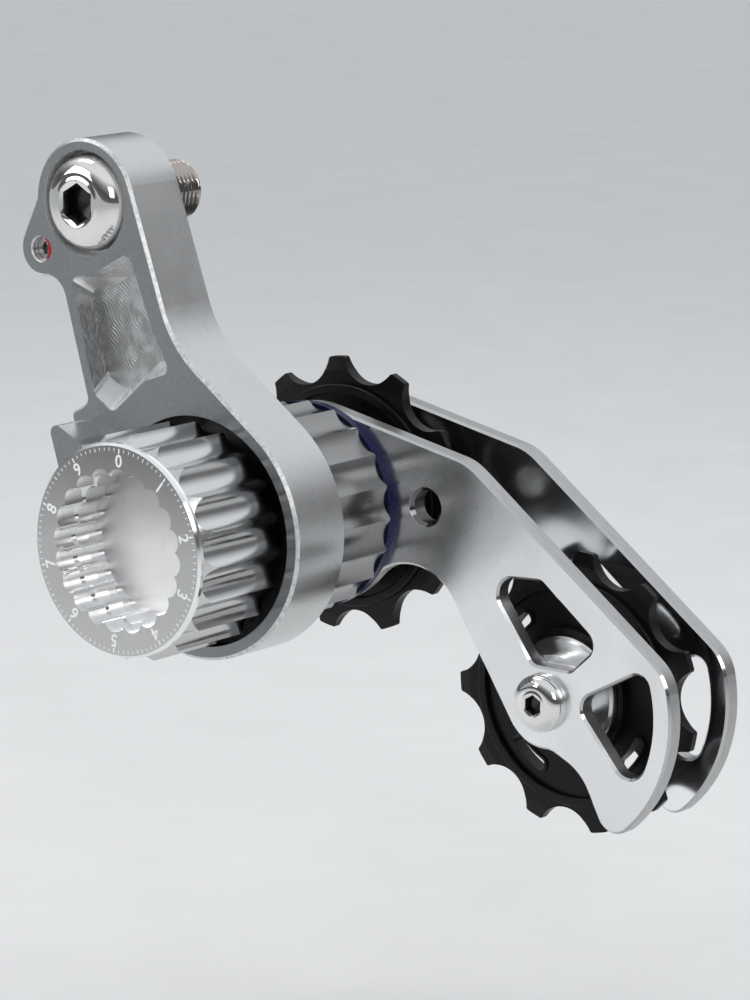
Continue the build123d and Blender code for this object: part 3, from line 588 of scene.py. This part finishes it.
# Meshes made here
def new_piece(name, vertices, faces, body, look, sharp=35.0):
    """A mesh piece, smooth apart from edges sharper than sharp degrees."""
    mesh = bpy.data.meshes.new(name)
    mesh.from_pydata(vertices, [], faces)
    mesh.update()
    for polygon in mesh.polygons:
        polygon.use_smooth = True
    mesh.set_sharp_from_angle(angle=math.radians(sharp))
    mesh.materials.append(look)
    piece = bpy.data.objects.new(name, mesh)
    bpy.context.scene.collection.objects.link(piece)
    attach(piece, body)
    return piece


def tube_faces(rings, sides):
    """Faces of a tube with closed ends, whose rings have the same number of sides."""
    faces = []
    for ring in range(rings - 1):
        for step in range(sides):
            here = ring * sides + step
            beside = ring * sides + (step + 1) % sides
            faces.append((here, beside, beside + sides, here + sides))
    faces.append(tuple(range(sides))[::-1])
    last = (rings - 1) * sides
    faces.append(tuple(range(last, last + sides)))
    return faces


def lathe(name, centre, rings, body, look):
    """A turned piece about the Y axis through centre. Each ring is (depth, radius), where the
    radius may be a function of the angle. The ends are closed."""
    vertices = []
    for depth, radius in rings:
        for step in range(AROUND):
            angle = 2 * math.pi * step / AROUND
            reach = radius(angle) if callable(radius) else radius
            vertices.append((centre[0] + reach * math.cos(angle), depth,
                             centre[1] + reach * math.sin(angle)))
    return new_piece(name, vertices, tube_faces(len(rings), AROUND), body, look)


# Bolts. A head is (radius, height, radius of the flat top, size of the hexagon key), and a
# screw thread is (major radius, pitch, depth)
HANGER_HEAD = (8.0 * MM, HANGER_HEAD_HEIGHT, 4.3 * MM, 6.0 * MM)
HANGER_SHANK_R = 5.9 * MM
HANGER_THREAD = (5.0 * MM, 1.0 * MM, 0.55 * MM)
CAGE_HEAD = (4.75 * MM, CAGE_HEAD_HEIGHT, 2.2 * MM, 3.0 * MM)
CAGE_THREAD = (CAGE_THREAD_R, 0.8 * MM, 0.35 * MM)
POINT_R = 0.02 * MM                  # of the ring that closes an end
THREAD_FLAT = 0.1                    # of the crests and roots, as a share of half a pitch
RINGS_PER_PITCH = 10
SOCKET_DEPTH = 0.52                  # this and the next three: share of the key's size
SOCKET_TIP = 0.14
SOCKET_DRILL_R = 0.36
SOCKET_MOUTH = 0.045
HEAD_LIP = 0.03                      # share of the head's radius
HEAD_RIM = 0.2                       # share of the head's height
HEAD_EDGE = 0.15 * MM
DOME_STEPS = 14
DOME_POWER = 0.9                     # 1 would be an ellipse


def corner_r(flats):
    """Radius of a hexagon's corners, from its size across flats."""
    return flats / 2 / math.cos(math.pi / 6)


def hexagon(flats):
    """Radius of a hexagon with the given size across flats, by angle."""
    def radius(angle):
        turn = (angle + math.pi / 6) % (math.pi / 3) - math.pi / 6
        return flats / 2 / math.cos(turn)
    return radius


def thread(screw, at, taper):
    """Radius of a screw thread at one depth, by angle."""
    major, pitch, depth = screw

    def radius(angle):
        phase = (at / pitch - angle / (2 * math.pi)) % 1.0
        fall = (abs(2 * phase - 1) - THREAD_FLAT) / (1 - 2 * THREAD_FLAT)
        return major - taper - depth * min(1.0, max(0.0, fall))
    return radius


def thread_rings(screw, start, end):
    """Rings of a thread from start to end, with a tapered lead at the end."""
    pitch, depth = screw[1:]
    count = int(abs(end - start) / pitch * RINGS_PER_PITCH)
    rings = []
    for number in range(count + 1):
        at = start + (end - start) * number / count
        taper = max(0.0, depth - abs(end - at))
        rings.append((at, thread(screw, at, taper)))
    return rings


def head_rings(head, out, seat):
    """Rings of a button head, from the tip of its deep hexagon socket to its seat."""
    head_r, height, flat_r, key = head
    top = seat + out * height
    floor = top - out * key * SOCKET_DEPTH
    mouth = SOCKET_MOUTH * key
    lip = HEAD_LIP * head_r
    shoulder = top - out * lip / 2
    rings = [(floor - out * key * SOCKET_TIP, POINT_R), (floor, key * SOCKET_DRILL_R),
             (floor, hexagon(key)), (top - out * mouth, hexagon(key)),
             (top, corner_r(key) + mouth), (top, flat_r - lip), (shoulder, flat_r)]
    rim = seat + out * height * HEAD_RIM
    for step in range(1, DOME_STEPS + 1):
        turn = step / DOME_STEPS * math.pi / 2
        radius = flat_r + (head_r - flat_r) * math.sin(turn) ** DOME_POWER
        depth = rim + (shoulder - rim) * math.cos(turn) ** DOME_POWER
        rings.append((depth, radius))
    return rings + [(seat + out * HEAD_EDGE, head_r), (seat, head_r - HEAD_EDGE)]


def button_bolt(name, centre, out, depths, head, shank_r, screw, body):
    """A button head screw. Out is -1 when the head points outboard, and depths are those of
    the head's seat, of the thread's start and of the screw's end."""
    seat, start, end = depths
    rings = head_rings(head, out, seat)
    rings.extend([(seat, shank_r), (start, shank_r)])
    rings.extend(thread_rings(screw, start, end))
    rings.append((end, POINT_R))
    height, key = head[1], head[3]
    look = polished_steel(name + "_look", centre, corner_r(key), seat + out * height, out)
    return lathe(name, centre, rings, body, look)


def make_hanger_bolt():
    low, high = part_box("hanger_bolt")
    depths = (low.y + HANGER_HEAD_HEIGHT, HANGER_THREAD_START, high.y)
    piece = button_bolt("hanger_bolt_threaded", HANGER, -1, depths, HANGER_HEAD,
                        HANGER_SHANK_R, HANGER_THREAD, "bracket")
    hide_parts("hanger_bolt")


def make_cage_bolts():
    for node, centre, out, seat in (("tension_bolt", TENSION, -1, NEAR_FRONT),
                                    ("guide_bolt", PIVOT, 1, FAR_BACK)):
        low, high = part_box(node)
        depths = (seat, seat - out * CAGE_PLAIN_SHANK, high.y if out < 0 else low.y)
        piece = button_bolt(node + "_threaded", centre, out, depths, CAGE_HEAD,
                            CAGE_THREAD_R, CAGE_THREAD, "cage")
        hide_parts(node)


# Bead of red thread locker on one side of the angle screw's hole
BEAD_R = 0.45 * MM
BEAD_HALF_DEPTH = 0.75 * MM
BEAD_FROM = math.radians(-75)
BEAD_TO = math.radians(80)
BEAD_END = 0.15                      # thickness of its ends, as a share of the full one
BEAD_SWELL = 0.6                     # lower is blunter
BEAD_STEPS = 28
BEAD_SIDES = 12


def locker_look():
    shader = Shader("thread_locker_look")
    lumps = shader.noise(1500)
    tone = shader.blend(shader.spread(lumps, 0.3, 0.7),
                        (0.30, 0.006, 0.010, 1), (0.48, 0.015, 0.02, 1))
    shader.raise_by(lumps, 0.05 * MM, 0.6)
    return shader.finish(Base_Color=tone, Roughness=0.22, Specular_IOR_Level=0.6)


def make_thread_locker():
    depth = ARM_FRONT + ANGLE_SCREW_SUNK - BEAD_HALF_DEPTH
    vertices = []
    for step in range(BEAD_STEPS + 1):
        share = step / BEAD_STEPS
        angle = BEAD_FROM + (BEAD_TO - BEAD_FROM) * share
        swell = math.sin(math.pi * share) ** BEAD_SWELL
        thick = BEAD_R * (BEAD_END + (1 - BEAD_END) * swell)
        half_depth = BEAD_HALF_DEPTH * thick / BEAD_R
        for side in range(BEAD_SIDES):
            turn = 2 * math.pi * side / BEAD_SIDES
            reach = ANGLE_HOLE_R - thick + thick * math.cos(turn)
            vertices.append((EAR[0] + reach * math.cos(angle), depth + half_depth * math.sin(turn),
                             EAR[1] + reach * math.sin(angle)))
    faces = tube_faces(BEAD_STEPS + 1, BEAD_SIDES)
    new_piece("thread_locker", vertices, faces, "bracket", locker_look(), sharp=80.0)


# Dial graduations: plain ticks and numbers in white enamel
TICKS = 100
NUMBERS = 10
TICK_OUTER_R = 16.45 * MM
TICK_INNER_R = (15.95 * MM, 15.85 * MM, 15.65 * MM)    # short, middle and long ticks
TICK_HALF_WIDTH = (0.07 * MM, 0.09 * MM, 0.13 * MM)
NUMBER_R = 14.38 * MM
NUMBER_SIZE = 2.8 * MM
NUMBER_BOLD = 0.05 * MM
ENAMEL_LIFT = 0.012 * MM
DIAL_TURN = math.radians(2.8)        # turns the scale to the knob's ridges


def enamel():
    shader = Shader("white_enamel_look")
    fine = shader.noise(1800)
    tone = shader.blend(shader.spread(fine, 0.3, 0.7), grey(0.88), grey(0.95))
    shader.raise_by(fine, 0.008 * MM, 0.5)
    return shader.finish(Base_Color=tone, Roughness=0.42)


def on_dial(turn, side, up, depth):
    """A point of the dial: turn is clockwise from the top, side and up are measured there."""
    return (PIVOT[0] + up * math.sin(turn) + side * math.cos(turn), depth,
            PIVOT[1] + up * math.cos(turn) - side * math.sin(turn))


def make_dial_ticks(look):
    vertices, faces = [], []
    for number in range(TICKS):
        turn = DIAL_TURN + 2 * math.pi * number / TICKS
        kind = 2 if number % 10 == 0 else 1 if number % 5 == 0 else 0
        half = TICK_HALF_WIDTH[kind]
        inner = TICK_INNER_R[kind]
        corners = ((-half, inner), (half, inner), (half, TICK_OUTER_R), (-half, TICK_OUTER_R))
        first = len(vertices)
        for depth in (DIAL_FRONT - ENAMEL_LIFT, DIAL_FRONT + ENAMEL_LIFT):
            vertices.extend(on_dial(turn, side, up, depth) for side, up in corners)
        faces.append((first, first + 1, first + 2, first + 3))
        faces.append((first + 7, first + 6, first + 5, first + 4))
        for side in range(4):
            beside = (side + 1) % 4
            faces.append((first + side, first + 4 + side, first + 4 + beside, first + beside))
    new_piece("dial_ticks", vertices, faces, "knob", look)


def make_dial_numbers(look):
    vertices, faces = [], []
    for number in range(NUMBERS):
        turn = DIAL_TURN + 2 * math.pi * number / NUMBERS
        letters = bpy.data.curves.new("number", "FONT")
        letters.body = str(number)
        letters.size = NUMBER_SIZE
        letters.offset = NUMBER_BOLD
        letters.extrude = ENAMEL_LIFT
        letters.align_x = "CENTER"
        letters.align_y = "CENTER"
        draft = bpy.data.objects.new("number", letters)
        mesh = bpy.data.meshes.new_from_object(draft)
        first = len(vertices)
        for vertex in mesh.vertices:
            side, up, lift = vertex.co
            vertices.append(on_dial(turn, side, NUMBER_R + up, DIAL_FRONT - lift))
        faces.extend(tuple(first + v for v in polygon.vertices) for polygon in mesh.polygons)
        bpy.data.objects.remove(draft)
    new_piece("dial_numbers", vertices, faces, "knob", look)


# Burnished spot in the middle of the recess
SPOT_R = 1.5 * MM
SPOT_LIFT = 0.03 * MM
SPOT_DEPTH = 0.8 * MM                # of the dish below the recess's edge
SPOT_DISH_R = 11.2 * MM
SPOT_RINGS = 6
SPOT_FIRST = 0.05                    # radius of the first ring, as a share of a step


def make_recess_spot():
    """A thin disc over the pole of the knob's dish, where the CAD mesh shades wrongly."""
    rings = []
    for ring in range(SPOT_RINGS):
        radius = SPOT_R * (ring + SPOT_FIRST) / (SPOT_RINGS - 1 + SPOT_FIRST)
        dish = SPOT_DEPTH * (1 - (radius / SPOT_DISH_R) ** 2)
        rings.append((PIVOT_FLOOR + dish - SPOT_LIFT, radius))
    rings.append((rings[-1][0] + 2 * SPOT_LIFT, SPOT_R))
    lathe("recess_spot", PIVOT, rings, "knob", MATERIALS["polished_aluminium"])


# Stage
FLOOR_GAP = 32.0 * MM                # room for the cage at the end of its swing
FLOOR_SIZE = 30.0


def make_stage():
    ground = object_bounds()[0].z - FLOOR_GAP
    shader = Shader("floor_look")
    tone = shader.blend(shader.spread(shader.noise(40), 0.3, 0.7), grey(0.72), grey(0.75))
    look = shader.finish(Base_Color=tone, Roughness=0.6, Specular_IOR_Level=0.2)
    bpy.ops.mesh.primitive_plane_add(size=FLOOR_SIZE, location=(0, 0, ground))
    floor = bpy.context.object
    floor.name = "floor"
    floor.data.materials.append(look)


# Lamps: name, place, size and power in watts
LAMPS = (
    ("key_box", (-0.60, -0.70, 0.36), (0.55, 0.45), 0.95),
    ("fill_box", (0.80, -0.62, 0.40), (0.45, 0.40), 0.42),
    ("side_box", (0.85, 0.45, 0.45), (0.35, 0.60), 0.32),
    ("top_box", (-0.45, 0.12, 0.85), (0.60, 0.50), 0.60),
)
LAMP_TARGET = Vector((0.04, 0.0, -0.05))
LAMP_SPREAD = math.radians(90)       # keeps the floor under the lamps from being burnt out


def soft_box(name, place, size, power):
    """A rectangular lamp that points at the middle of the object."""
    data = bpy.data.lights.new(name, "AREA")
    data.shape = "RECTANGLE"
    data.size = size[0]
    data.size_y = size[1]
    data.energy = power
    data.spread = LAMP_SPREAD
    lamp = bpy.data.objects.new(name, data)
    lamp.location = place
    lamp.rotation_euler = (LAMP_TARGET - Vector(place)).to_track_quat("-Z", "Y").to_euler()
    bpy.context.scene.collection.objects.link(lamp)


# Radiance of the studio as (sine of the elevation, level): behind the object and in front
STUDIO_BEHIND = ((0.0, 0.22), (0.15, 0.17), (0.27, 0.20), (0.42, 0.55), (0.6, 1.0),
                 (0.8, 0.95), (1.0, 0.80))
STUDIO_FRONT = ((0.0, 0.12), (0.2, 0.08), (0.45, 0.30), (0.7, 0.85), (1.0, 0.80))
STUDIO_BLUE = 0.06
STUDIO_SEAM = (-0.25, 0.35)          # range along Y in which the two meet


def make_studio():
    world = bpy.data.worlds.new("studio")
    bpy.context.scene.world = world
    world.use_nodes = True
    studio = Nodes(world.node_tree)
    way = studio.add("ShaderNodeTexCoord").outputs["Generated"]
    height = studio.part(way, "Z")
    behind = studio.ramp(height, STUDIO_BEHIND, STUDIO_BLUE)
    front = studio.ramp(height, STUDIO_FRONT, STUDIO_BLUE)
    sky = studio.blend(studio.spread(studio.part(way, "Y"), *STUDIO_SEAM), front, behind)
    light = studio.add("ShaderNodeBackground")
    studio.link(sky, light.inputs["Color"])
    studio.link(light.outputs[0], studio.add("ShaderNodeOutputWorld").inputs["Surface"])
    bpy.context.scene.view_settings.view_transform = "Standard"


def make_lights():
    for lamp in LAMPS:
        soft_box(*lamp)
    make_studio()


dress_cad_nodes()
make_hanger_bolt()
make_cage_bolts()
make_thread_locker()
white_enamel = enamel()
make_dial_ticks(white_enamel)
make_dial_numbers(white_enamel)
make_recess_spot()
make_stage()
make_lights()
make_camera()
